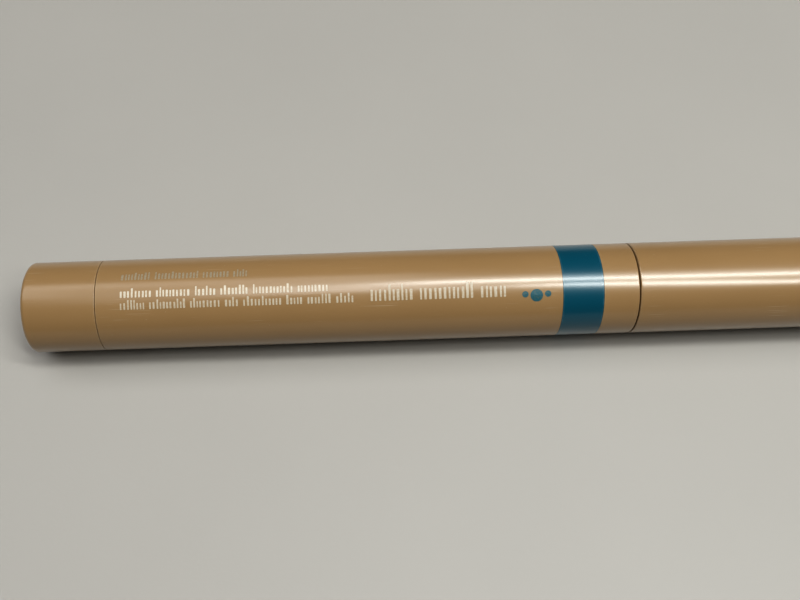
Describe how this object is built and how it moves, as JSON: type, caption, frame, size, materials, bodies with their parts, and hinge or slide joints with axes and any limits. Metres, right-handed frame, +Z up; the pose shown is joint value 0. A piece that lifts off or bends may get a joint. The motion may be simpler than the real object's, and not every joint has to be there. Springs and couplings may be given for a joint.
{
  "type": "twist-up colour stick",
  "caption": "Slim round twist-up cosmetic colour stick with a turning rear knob, teal colour band, fixed nose and a pull-off cap, lying on its side.",
  "frame": {"origin": "on the resting surface, straight below the middle of the capped stick", "axes": "+X along the stick from the turning knob to the cap end, +Z up from the resting surface"},
  "size_m": [0.128, 0.0108, 0.0108],
  "materials": {
    "tan_plastic": "satin gloss, warm tan",
    "teal_plastic": "satin gloss, deep teal",
    "inner_white": "natural white, matte",
    "acetal": "smooth bearing plastic",
    "nose_plastic": "pale matte",
    "black_rubber": "matte",
    "spring_steel": "bright rolled",
    "colour_wax": "waxy, terracotta brown"
  },
  "bodies": {
    "barrel": {"barrel_shell": "tan_plastic", "colour_band": "teal_plastic", "front_collar": "tan_plastic", "nose_sleeve": "nose_plastic", "guide_sleeve": "inner_white", "rear_bearing": "acetal"},
    "knob": {"knob_shell": "tan_plastic", "knob_core": "acetal", "feed_screw": "acetal", "friction_ring": "black_rubber", "thrust_washer": "spring_steel", "retaining_clip": "spring_steel"},
    "feed": {"push_tube": "inner_white", "feed_nut": "acetal", "stick_cup": "inner_white", "colour_stick": "colour_wax"},
    "cap_seal": {"neck_seal_ring": "black_rubber"},
    "cap": {"cap_shell": "tan_plastic", "cap_liner": "inner_white"}
  },
  "joints": [
    {"name": "knob_turn", "type": "hinge", "parent": "barrel", "child": "knob", "pos_m": [-0.0554, 0, 0.0054], "axis": [1, 0, 0], "range_deg": [0, 3600]},
    {"name": "stick_feed", "type": "slide", "parent": "barrel", "child": "feed", "axis": [1, 0, 0], "range_m": [0, 0.032]},
    {"name": "cap_turn", "type": "hinge", "parent": "barrel", "child": "cap_seal", "pos_m": [0.01102, 0, 0.0054], "axis": [1, 0, 0], "continuous": true},
    {"name": "cap_pull", "type": "slide", "parent": "cap_seal", "child": "cap", "axis": [1, 0, 0], "range_m": [0, 0.06]}
  ],
  "couplings": [
    {"joint": "knob_turn", "follows": "stick_feed", "rad_per_m": 1963.5}
  ]
}
